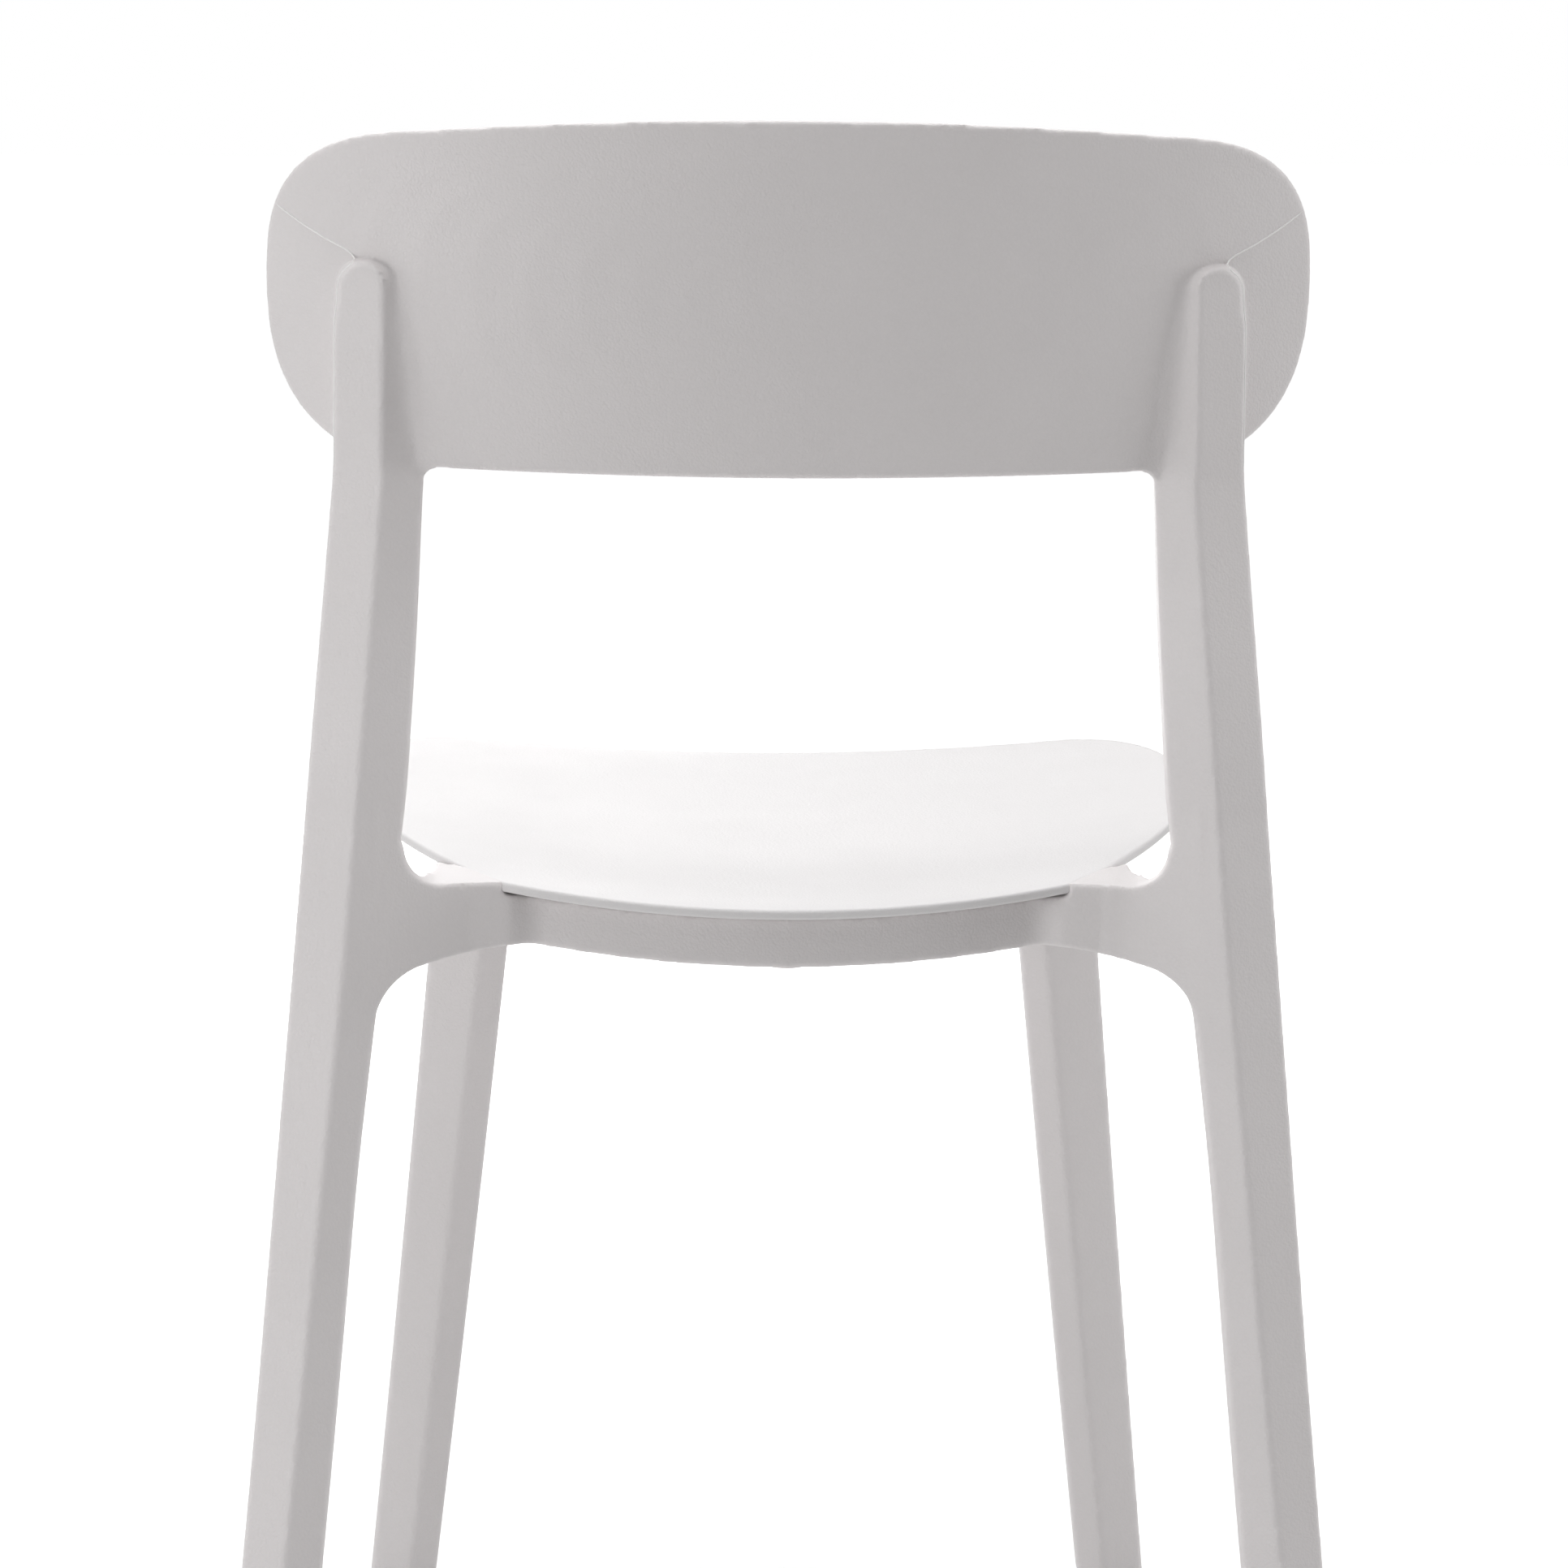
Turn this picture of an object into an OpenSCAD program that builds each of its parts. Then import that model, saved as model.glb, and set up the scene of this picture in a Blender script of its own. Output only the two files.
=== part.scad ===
// Moulded stacking chair: a back frame, a seat shell and a front frame, with their
// glides, stacking pads and fixings. The chair faces -Y, +X is the sitter's left
// and the feet stand on z = 0. All sizes are in millimetres.

/* [Overall] */
// Width across the rear feet
overall_w = 496; // [440:1:600]
// Depth from the front feet to the rear feet
overall_d = 460; // [400:1:560]
// Height of the backrest's top edge
overall_h = 760; // [640:1:920]
// Width across the front feet
front_feet_w = 400; // [360:1:460]

/* [Seat] */
// Height of the seat's top at the middle of its rear edge
seat_h = 422; // [350:1:470]
// Widest width of the seat
seat_w = 396; // [360:1:440]
// Depth of the seat from front to rear
seat_depth = 402; // [340:1:430]
// Thickness of the seat shell
seat_t = 4.4; // [3.8:0.1:5.6]
// Width between the two arms, across the seat's rear corners
seat_rear_w = 247; // [210:1:262]
// Distance that the seat's front edge lies behind the front feet
seat_inset = 15; // [5:1:40]
// Rise of the seat from its rear edge to its front edge
seat_lift = 17.5; // [8:0.5:24]
// Rise of the seat's sides above its middle
seat_dish = 18; // [10:0.5:22]

/* [Backrest] */
// Width of the backrest
back_w = 451; // [400:1:480]
// Height of the backrest panel
back_tall = 151; // [120:1:180]
// Thickness of the backrest panel
back_t = 4.6; // [3.8:0.1:6]
// Radius of the backrest in plan
back_r = 400; // [360:1:520]
// Lean of the backrest, in degrees
back_lean = 9; // [6:0.5:12]

/* [Legs] */
// Distance between the outer edges of the two posts at the backrest
posts_w = 393; // [360:1:410]
// Width of a rear leg at the floor
rear_leg_w = 34.4; // [28:0.1:40]
// Width of a front leg at the floor
front_leg_w = 33.4; // [28:0.1:40]
// Front-to-back depth of a leg at the floor
leg_depth = 30; // [26:0.5:34]
// Distance between the outer edges of the two front legs under the seat
front_top_w = 320; // [300:1:330]

/* [Arms and rails] */
// Height of an arm where it leaves the seat
arm_tall = 29; // [26:0.5:34]
// Height of the rear rail in its middle
rear_rail_tall = 23; // [21:0.5:28]
// Distance that the seat's rear edge stands out behind the rear rail
rim_overhang = 12; // [8:0.5:15]
// Width of the front frame's rails
rail_w = 20; // [17:0.5:24]
// Gap between the seat's underside and the rails below it
rail_gap = 1.4; // [1:0.1:2]
// Clearance between the seat's edge and the ends of the arms
seat_fit = 0.25; // [0.15:0.05:0.5]

/* [Glides and pads] */
// Thickness of a glide below the leg
glide_t = 4; // [3:0.5:6]
// Diameter of a glide's stem
glide_stem_d = 12; // [9:0.5:14]
// Diameter of a stacking pad
pad_d = 14; // [10:0.5:16]
// Thickness of a stacking pad
pad_t = 4.5; // [3:0.5:6]

/* [Fixings] */
// Diameter of the frame bolts
bolt_d = 6; // [5:0.5:6.5]
// Diameter of the threaded inserts
insert_d = 9; // [8:0.5:10]
// Diameter of the seat screws
screw_d = 3.5; // [3:0.1:4]
// Diameter of the bosses under the seat
boss_d = 10; // [9:0.5:11]
// Clearance around a stem, a boss or a shank in its hole
fit = 0.1; // [0.05:0.05:0.2]

/* [Hidden] */
$fn = 48;

shell_white = "#ecebea";
frame_white = "#e2e1df";
glide_grey = "#9a9a98";
pad_grey = "#b9b8b5";
steel = "#a9abae";
brass_gold = "#b9984f";

function mix(a, b, t) = a + (b - a) * t;
function clamp01(t) = max(0, min(1, t));
function smooth(t) = let (c = clamp01(t)) c * c * (3 - 2 * c);

// ---- Seat: its plan outline and the height of its top ----
seat_front_y = -overall_d / 2 + seat_inset;
seat_rear_y = seat_front_y + seat_depth;
corner_x = seat_rear_w / 2;
corner_y = seat_rear_y - 28;
notch_x = corner_x + 18;
notch_y = corner_y - 30;
wide_y = seat_front_y + 170;
seat_mid_y = seat_front_y + 205;

// The seat's middle line, from the front edge to the rear edge, as shares of seat_lift below its crest
seat_line = [[seat_front_y - 20, -1.014], [seat_front_y, -0.471], [seat_front_y + 20, -0.058],
             [seat_front_y + 45, 0], [seat_front_y + 115, -0.312], [seat_front_y + 215, -0.746],
             [seat_rear_y - 107, -0.964], [seat_rear_y - 57, -1.022], [seat_rear_y, -1]];
// The dish is shallower towards the front, and is measured at dish_x from the middle
dish_x = 190;
dish_front_less = 6.5;
function seat_dish_at(y) = mix(seat_dish - dish_front_less, seat_dish,
                               clamp01((y - seat_front_y - 35) / (seat_depth - 70)));
function seat_z(x, y) = seat_h + seat_lift * (1 + lookup(y, seat_line))
                        + seat_dish_at(y) * pow(x / dish_x, 2);
function seat_under(x, y) = seat_z(x, y) - seat_t;

function bezier(a, b, c, d, t) = pow(1 - t, 3) * a + 3 * pow(1 - t, 2) * t * b
                                 + 3 * (1 - t) * t * t * c + pow(t, 3) * d;
rear_arc_r = (pow(corner_x, 2) + pow(seat_rear_y - corner_y, 2)) / (2 * (seat_rear_y - corner_y));
function rear_edge_y(x) = seat_rear_y - rear_arc_r + sqrt(pow(rear_arc_r, 2) - x * x);
wide_x = seat_w / 2;
// Right half of the outline, from the middle of the rear edge round to the front
half_seat = concat(
    [for (i = [0 : 7]) let (x = corner_x * i / 8) [x, rear_edge_y(x)]],
    [[corner_x, corner_y], [mix(corner_x, notch_x, 0.5), mix(corner_y, notch_y, 0.5)]],
    [for (i = [0 : 7]) bezier([notch_x, notch_y], [notch_x + 31, notch_y - 60],
                              [wide_x, wide_y + 50], [wide_x, wide_y], i / 8)],
    [for (a = [0 : 9 : 81]) [wide_x * pow(cos(a), 2 / 3.1),
                             wide_y - (wide_y - seat_front_y) * pow(sin(a), 2 / 3.1)]]);
seat_outline = concat(half_seat, [[0, seat_front_y]],
                      [for (i = [len(half_seat) - 1 : -1 : 1]) [-half_seat[i][0], half_seat[i][1]]]);
seat_rings = [0.2, 0.4, 0.58, 0.74, 0.87, 0.95, 1];

// ---- Backrest panel ----
back_low = overall_h - back_tall;
back_setback = 8;
back_top_y = overall_d / 2 - back_setback;
function back_rear(x, z) = back_top_y - (overall_h - z) * tan(back_lean)
                           - (back_r - sqrt(max(1, back_r * back_r - x * x)));
back_shoulder = 75;
back_side_z = overall_h - 72;
back_crown = 5.5;
upper_round = 2.9;
lower_round = 2.4;

// ---- Rear legs ----
post_x = posts_w / 2;
post_top = back_low + 0.6 * back_tall;
leg_flare = 3;
// How far the post's ridge stands out behind the panel, at the panel's foot and at the post's tip
post_proud = 17;
tip_proud = 6.5;
// Angles at which a leg's rear face falls away on each side of its ridge
outer_fall = 25;
inner_fall = 32;
edge_in = 0.7;
leg_seat_z = seat_h + 40;
leg_seat_y = corner_y + 28;
function leg_x(z) = z > back_low ? post_x - 0.5 - (z - back_low) * 0.013
    : post_x - 0.5 + (overall_w / 2 - leg_flare - post_x + 0.5) * (back_low - z) / (back_low - glide_t)
      + leg_flare * pow(max(0, 1 - (z - glide_t) / (0.6 * seat_h)), 2);
function leg_ridge_y(z) =
    z < leg_seat_z ? mix(overall_d / 2, leg_seat_y, (z - glide_t) / (leg_seat_z - glide_t))
    : z < back_low ? mix(leg_seat_y, back_rear(post_x - 20, back_low) + post_proud,
                         smooth((z - leg_seat_z) / (back_low - leg_seat_z)))
    : back_rear(post_x - 20, z) + mix(post_proud, tip_proud, (z - back_low) / (post_top - back_low));
// Each row: height, width, share of the width outside the ridge, depth
leg_rows = [[glide_t, rear_leg_w, 0.50, leg_depth], [0.33 * seat_h, rear_leg_w, 0.557, leg_depth + 1],
            [0.72 * seat_h, rear_leg_w + 0.4, 0.61, leg_depth + 2],
            [0.93 * seat_h, rear_leg_w + 3.4, 0.6, leg_depth + 2],
            [leg_seat_z, rear_leg_w + 8.4, 0.53, leg_depth + 2],
            [mix(leg_seat_z, back_low, 0.5), rear_leg_w + 7, 0.545, leg_depth],
            [back_low, rear_leg_w + 4.2, 0.575, post_proud + back_t - 0.6]];
function leg_at(z, k) = lookup(z, [for (r = leg_rows) [r[0], r[k]]]);
function leg_in_x(z) = leg_x(z) - leg_at(z, 1);
// A section of the leg: outer edge, ridge, inner edge, then the front face
function leg_ring(z) = let (xo = leg_x(z), w = leg_at(z, 1), s = leg_at(z, 2), yr = leg_ridge_y(z),
                            d = leg_at(z, 3), a = w * s, b = w * (1 - s))
    [[xo - edge_in, yr - a * tan(outer_fall), z], [xo - a, yr, z],
     [xo - w + edge_in, yr - b * tan(inner_fall), z],
     [xo - w, yr - d + 3, z], [xo - w + 3, yr - d, z], [xo - 3, yr - d, z], [xo, yr - d + 3, z]];
// Each row: share of the post's height, width beyond a leg's, how far its outer edge draws in
post_rows = [[0, 4.2, 0], [0.25, -0.4, 0], [0.53, -3.9, 0], [0.72, -6.9, 0],
             [0.88, -10.9, 0.6], [0.95, -16.9, 3], [1, -28.4, 8]];
function post_at(t, k) = lookup(t, [for (r = post_rows) [r[0], r[k]]]);
// A section of the post where it stands out behind the backrest panel
function post_ring(z) = let (t = (z - back_low) / (post_top - back_low), xo = leg_x(z) - post_at(t, 2),
                             w = rear_leg_w + post_at(t, 1), yr = leg_ridge_y(z),
                             a = min(21.4, 0.8 * w), skin_y = back_t / 2)
    [[xo - edge_in, yr - a * tan(outer_fall), z], [xo - a, yr, z],
     [xo - w + edge_in, back_rear(xo - w, z) - 0.6, z],
     [xo - w, back_rear(xo - w, z) - 1, z],
     [xo - w + 3, back_rear(xo - w + 3, z) - skin_y, z], [xo - 3, back_rear(xo - 3, z) - skin_y, z],
     [xo, back_rear(xo, z) - 1, z]];
leg_heights = concat([glide_t, 40, 90, 0.33 * seat_h, 0.45 * seat_h, 0.6 * seat_h, 0.72 * seat_h,
                      0.83 * seat_h, 0.93 * seat_h, leg_seat_z - 25, leg_seat_z],
                     [for (t = [0.25, 0.5, 0.75, 0.92]) mix(leg_seat_z, back_low, t)]);
post_heights = [for (t = [0.06, 0.25, 0.5, 0.72, 0.86, 0.94, 1]) mix(back_low, post_top, t)];

// ---- Rear rail and arms ----
rail_front_y = notch_y;
arm_top = seat_z(corner_x, corner_y);
arm_low = arm_top - arm_tall;
rail_low = seat_h - seat_t - rear_rail_tall;
arm_tab_x = notch_x + 13;
upper_fillet = 16.5;
lower_fillet = 27;
// Half of the rear view of the rail and the arm, from the rail's bottom round to its top
half_bar = concat(
    [for (i = [1 : 6]) [(corner_x - 10) * i / 6, mix(rail_low, arm_low + 1, pow(i / 6, 2))]],
    [[corner_x + 4, arm_low], [corner_x + 22, arm_low - 3]],
    let (cz = arm_low - 5 - lower_fillet, cx = leg_in_x(arm_low - 30) - lower_fillet)
        [for (a = [72 : -12 : 0]) [cx + lower_fillet * cos(a), cz + lower_fillet * sin(a)]],
    [[leg_in_x(arm_low - 40) + 8, arm_low - 38], [leg_in_x(leg_seat_z) + 14, leg_seat_z - 12]],
    let (cz = arm_top + upper_fillet, cx = leg_in_x(leg_seat_z) - upper_fillet)
        [for (a = [0 : -15 : -90]) [cx + upper_fillet * cos(a), cz + upper_fillet * sin(a)]],
    [[corner_x, arm_top]]);
bar_outline = concat([[0, rail_low]], half_bar, [[0, arm_top]],
                     [for (i = [len(half_bar) - 1 : -1 : 0]) [-half_bar[i][0], half_bar[i][1]]]);
// Half of the plan of the rail and the arm, from the rail's rear face round to its front
leg_in = leg_in_x(arm_top);
half_plan = concat(
    [for (i = [1 : 6]) let (x = (corner_x - 16) * i / 6) [x, rear_edge_y(x) - rim_overhang]],
    [[corner_x - 1, corner_y + 0.5], [corner_x + 20, corner_y + 6],
     [leg_in, leg_ridge_y(arm_top) - leg_at(arm_top, 1) * (1 - leg_at(arm_top, 2)) * tan(inner_fall) - 0.5],
     [leg_in + 12, leg_ridge_y(arm_top) - 11],
     [leg_in + 12, leg_ridge_y(arm_top) - leg_depth + 6], [arm_tab_x + 6, corner_y - 3],
     [arm_tab_x, rail_front_y]]);
bar_plan = concat([[0, seat_rear_y - rim_overhang]], half_plan, [[0, rail_front_y]],
                  [for (i = [len(half_plan) - 1 : -1 : 0]) [-half_plan[i][0], half_plan[i][1]]]);

// ---- Front frame ----
front_foot_y = -overall_d / 2;
front_top_y = seat_front_y + 32;
front_top_z = seat_h + 7;
front_x = front_top_w / 2;
front_rail_tall = 24;
front_outer_fall = 20;
function front_leg_ring(z) = let (t = (z - glide_t) / (front_top_z - glide_t),
        xo = mix(front_feet_w / 2, front_x, t) - 3 * t * (1 - t),
        w = mix(front_leg_w, front_leg_w + 7, t), s = mix(0.62, 0.69, t),
        yf = mix(front_foot_y, front_top_y, t), yr = yf + leg_depth)
    [[xo, yr - w * s * tan(front_outer_fall), z], [xo - w * s, yr, z],
     [xo - w, yr - w * (1 - s) * tan(inner_fall), z],
     [xo - w + 3, yf, z], [xo - 4, yf, z]];
side_rail_x = front_x - 32;
plate_x = side_rail_x - 2;
plate_w = 54;
plate_t = 9;
plate_tall = 23;
plate_z = seat_h - 25;
bolt_z = plate_z + 12;
bolt_xs = [plate_x - 19, plate_x + 19];
bolt_grip = 13;
head_h = 4;
washer_t = 1.2;
// Each row: distance along the side rail, height of its underside
side_rail_low = [[seat_front_y + 45, -25], [seat_front_y + 90, -30.5], [seat_front_y + 235, -38],
                 [rail_front_y - 25, -28], [rail_front_y - 2, -25]];
function rail_low_at(y) = seat_h + lookup(y, side_rail_low);

// ---- Fixings ----
boss_h = 5.5;
web_t = 6;
screw_head_d = 8;
screw_head_h = 2.5;
screw_len = 14;
screw_spots = concat([for (s = [-1, 1], d = [110, 250]) [s * side_rail_x, seat_front_y + d]],
                     [for (s = [-1, 1]) [s * 60, seat_rear_y - 30]],
                     [for (s = [-1, 1]) [s * 55, front_top_y + 15]]);
function boss_end(p) = seat_under(p[0], p[1]) - boss_h;
pad_spots = [seat_front_y + 84, seat_front_y + 234];
pad_stem_d = 6;
pad_stem_h = 7;
pad_sink = 1;
stem_h = 26;
rear_stem_x = leg_x(0) - rear_leg_w / 2;
rear_stem_y = overall_d / 2 - leg_depth / 2 - 4;
front_stem_x = front_feet_w / 2 - front_leg_w / 2;
front_stem_y = front_foot_y + leg_depth / 2 - 2;
plug_d = 17;
plug_t = 1.6;
plug_sink = 0.8;
plug_stem_d = 8;
plug_stem_h = 6;
plug_y = seat_rear_y - rim_overhang - 12;

// Solid through a stack of rings with the same number of points
module skin(rings) {
    n = len(rings[0]);
    m = len(rings);
    polyhedron(
        points = [for (r = rings) for (p = r) p],
        faces = concat(
            [[for (j = [0 : n - 1]) j]],
            [[for (j = [n - 1 : -1 : 0]) (m - 1) * n + j]],
            [for (i = [0 : m - 2], j = [0 : n - 1]) let (k = (j + 1) % n)
                [i * n + j, (i + 1) * n + k, i * n + k]],
            [for (i = [0 : m - 2], j = [0 : n - 1]) let (k = (j + 1) % n)
                [i * n + j, (i + 1) * n + j, (i + 1) * n + k]]),
        convexity = 4);
}

module both_sides() {
    children();
    mirror([1, 0, 0]) children();
}

// The seat's solid between two distances below its top, grown sideways by grow
module seat_solid(above, below, grow = 0) {
    n = len(seat_outline);
    rings = len(seat_rings);
    scale_up = 1 + grow / corner_x;
    layer = [for (level = [above, -below])
        for (r = seat_rings) for (p = seat_outline)
            let (x = p[0] * r * (r == 1 ? scale_up : 1),
                 y = seat_mid_y + (p[1] - seat_mid_y) * r * (r == 1 ? scale_up : 1))
                [x, y, seat_z(x, y) + level]];
    middle = [for (level = [above, -below]) [0, seat_mid_y, seat_z(0, seat_mid_y) + level]];
    low = n * rings;
    edge = low - n;
    top_mid = 2 * low;
    polyhedron(
        points = concat(layer, middle),
        faces = concat(
            [for (j = [0 : n - 1]) [top_mid, j, (j + 1) % n]],
            [for (j = [0 : n - 1]) [top_mid + 1, low + (j + 1) % n, low + j]],
            [for (i = [0 : rings - 2], j = [0 : n - 1]) let (k = (j + 1) % n)
                [i * n + j, (i + 1) * n + j, (i + 1) * n + k]],
            [for (i = [0 : rings - 2], j = [0 : n - 1]) let (k = (j + 1) % n)
                [i * n + j, (i + 1) * n + k, i * n + k]],
            [for (i = [0 : rings - 2], j = [0 : n - 1]) let (k = (j + 1) % n)
                [low + i * n + j, low + (i + 1) * n + k, low + (i + 1) * n + j]],
            [for (i = [0 : rings - 2], j = [0 : n - 1]) let (k = (j + 1) % n)
                [low + i * n + j, low + i * n + k, low + (i + 1) * n + k]],
            [for (j = [0 : n - 1]) let (k = (j + 1) % n) [edge + j, low + edge + j, low + edge + k]],
            [for (j = [0 : n - 1]) let (k = (j + 1) % n) [edge + j, low + edge + k, edge + k]]),
        convexity = 6);
}

// Outline of the backrest panel as seen from behind: an arched top and rounded corners
back_flat = back_w / 2 - back_shoulder;
function crown_at(x) = back_crown * (x < back_flat ? pow(x / back_flat, 2)
                                     : 1 + 0.16 * (1 - exp(-12.5 * (x - back_flat) / back_flat)));
function upper_corner(a) = let (x = back_flat + back_shoulder * pow(cos(a), 2 / upper_round))
    [x, back_side_z + (overall_h - back_side_z - crown_at(x)) * pow(sin(a), 2 / upper_round)];
function lower_corner(a) = [back_flat + back_shoulder * pow(cos(a), 2 / lower_round),
                            back_side_z - (back_side_z - back_low - 1.5) * pow(sin(a), 2 / lower_round)];
half_back = concat([for (i = [1 : 6]) let (x = back_flat * i / 6) [x, overall_h - crown_at(x)]],
                   [for (a = [84 : -7 : 0]) upper_corner(a)],
                   [for (a = [7.5 : 7.5 : 90]) lower_corner(a)]);

module back_outline() {
    polygon(concat([[0, overall_h]], half_back, [[0, back_low]],
                   [for (i = [len(half_back) - 1 : -1 : 0]) [-half_back[i][0], half_back[i][1]]]));
}

module back_panel() {
    intersection() {
        translate([0, overall_d, 0]) rotate([90, 0, 0]) linear_extrude(2 * overall_d) back_outline();
        translate([0, back_top_y - back_r, overall_h]) rotate([-back_lean, 0, 0])
            difference() {
                translate([0, 0, -1.5 * back_tall]) cylinder(r = back_r, h = 2 * back_tall, $fn = 96);
                translate([0, 0, -1.6 * back_tall])
                    cylinder(r = back_r - back_t, h = 2.2 * back_tall, $fn = 96);
                translate([-back_r - 1, -back_r - 1, -2 * back_tall])
                    cube([2 * back_r + 2, back_r + 1, 3 * back_tall]);
            }
    }
}

module rear_bar() {
    intersection() {
        translate([0, overall_d, 0]) rotate([90, 0, 0]) linear_extrude(2 * overall_d) polygon(bar_outline);
        linear_extrude(overall_h) polygon(bar_plan);
    }
}

// Holes for the seat's bosses and screws, cut in the rail under them
module boss_holes() {
    for (p = screw_spots) {
        translate([p[0], p[1], boss_end(p)]) cylinder(d = boss_d + 2 * fit, h = 40);
        translate([p[0], p[1], boss_end(p) - 50]) cylinder(d = screw_d + 2 * fit, h = 60);
        translate([p[0], p[1], boss_end(p) - web_t - 50]) cylinder(d = screw_head_d + 1, h = 50);
    }
}

module back_frame() {
    color(frame_white)
    difference() {
        union() {
            back_panel();
            both_sides() skin(concat([for (z = leg_heights) leg_ring(z)],
                                     [for (z = post_heights) post_ring(z)]));
            difference() {
                rear_bar();
                seat_solid(60, seat_t + rail_gap, seat_fit);
            }
        }
        boss_holes();
        both_sides() {
            translate([rear_stem_x, rear_stem_y, 0])
                cylinder(d = glide_stem_d + 2 * fit, h = glide_t + stem_h + 1);
            for (x = bolt_xs) translate([x, rail_front_y - 1, bolt_z]) rotate([-90, 0, 0])
                cylinder(d = insert_d, h = bolt_grip + 2);
        }
        translate([0, plug_y, rail_low - 10]) cylinder(d = plug_d + 2 * fit, h = 10 + plug_sink);
        translate([0, plug_y, rail_low - 10]) cylinder(d = plug_stem_d + 2 * fit, h = 12 + plug_stem_h);
    }
}

module seat_shell() {
    color(shell_white)
    difference() {
        union() {
            seat_solid(0, seat_t);
            for (p = screw_spots) translate([p[0], p[1], boss_end(p)])
                cylinder(d = boss_d, h = boss_h + seat_t / 2);
        }
        for (p = screw_spots) translate([p[0], p[1], boss_end(p) - 1])
            cylinder(d = screw_d, h = screw_len - web_t + 1.5);
    }
}

// Side rail of the front frame, its top following the seat's underside
module side_rail() {
    rings = [for (y = [seat_front_y + 40, seat_front_y + 90, seat_front_y + 140, seat_front_y + 190,
                       seat_front_y + 240, seat_front_y + 290, rail_front_y - 2])
        let (a = side_rail_x - rail_w / 2, b = side_rail_x + rail_w / 2, low = rail_low_at(y),
             high = seat_under(a, y) - rail_gap)
            [[b, y, high], [b - 2, y, low], [a + 2, y, low], [a, y, high]]];
    skin(rings);
}

module front_frame() {
    low = front_top_z - front_rail_tall;
    color(frame_white)
    difference() {
        union() {
            both_sides() {
                skin([for (t = [0 : 0.125 : 1]) front_leg_ring(mix(glide_t, front_top_z, t))]);
                side_rail();
                translate([plate_x - plate_w / 2, rail_front_y - plate_t, plate_z])
                    cube([plate_w, plate_t, plate_tall]);
            }
            translate([-front_x + 20, front_top_y + 3, low])
                cube([front_top_w - 40, rail_w + 4, front_rail_tall - 2]);
        }
        seat_solid(60, seat_t + rail_gap, 4);
        boss_holes();
        both_sides() {
            translate([front_stem_x, front_stem_y, 0])
                cylinder(d = glide_stem_d + 2 * fit, h = glide_t + stem_h + 1);
            for (y = pad_spots) translate([side_rail_x, y, 0]) {
                cylinder(d = pad_stem_d + 2 * fit, h = rail_low_at(y) + pad_sink + pad_stem_h + 1);
                cylinder(d = pad_d + 2 * fit, h = rail_low_at(y) + pad_sink);
            }
            for (x = bolt_xs) translate([x, rail_front_y - plate_t - 1, bolt_z])
                rotate([-90, 0, 0]) cylinder(d = bolt_d + 2 * fit, h = plate_t + 2);
        }
    }
}

// A glide: a sole in the shape of the leg's end, and a stem pressed into the leg
module glide(ring, stem_x, stem_y) {
    color(glide_grey) {
        linear_extrude(glide_t) offset(delta = -1) polygon([for (p = ring) [p[0], p[1]]]);
        translate([stem_x, stem_y, glide_t / 2]) cylinder(d = glide_stem_d, h = glide_t / 2 + stem_h);
    }
}

module rear_glide() {
    glide(leg_ring(glide_t), rear_stem_x, rear_stem_y);
}

module front_glide() {
    glide(front_leg_ring(glide_t), front_stem_x, front_stem_y);
}

module glide_rear_left() { rear_glide(); }
module glide_rear_right() { mirror([1, 0, 0]) rear_glide(); }
module glide_front_left() { front_glide(); }
module glide_front_right() { mirror([1, 0, 0]) front_glide(); }

// A soft pad pressed up into the side rail; it rests on the seat of the chair below
module stack_pad(y) {
    color(pad_grey) translate([side_rail_x, y, rail_low_at(y) + pad_sink]) {
        translate([0, 0, -pad_t - pad_sink]) cylinder(d = pad_d, h = pad_t + pad_sink);
        cylinder(d = pad_stem_d, h = pad_stem_h);
    }
}

module stack_pad_front_left() { stack_pad(pad_spots[0]); }
module stack_pad_front_right() { mirror([1, 0, 0]) stack_pad(pad_spots[0]); }
module stack_pad_rear_left() { stack_pad(pad_spots[1]); }
module stack_pad_rear_right() { mirror([1, 0, 0]) stack_pad(pad_spots[1]); }

module seat_screws() {
    color(steel)
    for (p = screw_spots) translate([p[0], p[1], boss_end(p) - web_t]) {
        cylinder(d = screw_d, h = screw_len);
        translate([0, 0, -screw_head_h]) cylinder(d = screw_head_d, h = screw_head_h);
    }
}

// Places its children at each frame bolt, with +Z along the bolt
module at_bolts() {
    both_sides() for (x = bolt_xs)
        translate([x, rail_front_y - plate_t, bolt_z]) rotate([-90, 0, 0]) children();
}

module bolt_washers() {
    color(steel) at_bolts() translate([0, 0, -washer_t]) difference() {
        cylinder(d = 2 * bolt_d, h = washer_t);
        translate([0, 0, -1]) cylinder(d = bolt_d + 2 * fit, h = washer_t + 2);
    }
}

module frame_bolts() {
    color(steel) at_bolts() translate([0, 0, -washer_t]) difference() {
        union() {
            translate([0, 0, -head_h]) cylinder(d = 1.7 * bolt_d, h = head_h);
            cylinder(d = bolt_d, h = washer_t + plate_t + bolt_grip - 1);
        }
        translate([0, 0, -head_h - 1]) cylinder(d = 4, h = 3.5, $fn = 6);
    }
}

module threaded_inserts() {
    color(brass_gold) at_bolts() translate([0, 0, plate_t]) difference() {
        cylinder(d = insert_d, h = bolt_grip);
        translate([0, 0, -1]) cylinder(d = bolt_d, h = bolt_grip + 2);
    }
}

module rail_plug() {
    color(frame_white) translate([0, plug_y, rail_low + plug_sink]) {
        translate([0, 0, -plug_t]) cylinder(d = plug_d, h = plug_t);
        cylinder(d = plug_stem_d, h = plug_stem_h);
    }
}

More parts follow.
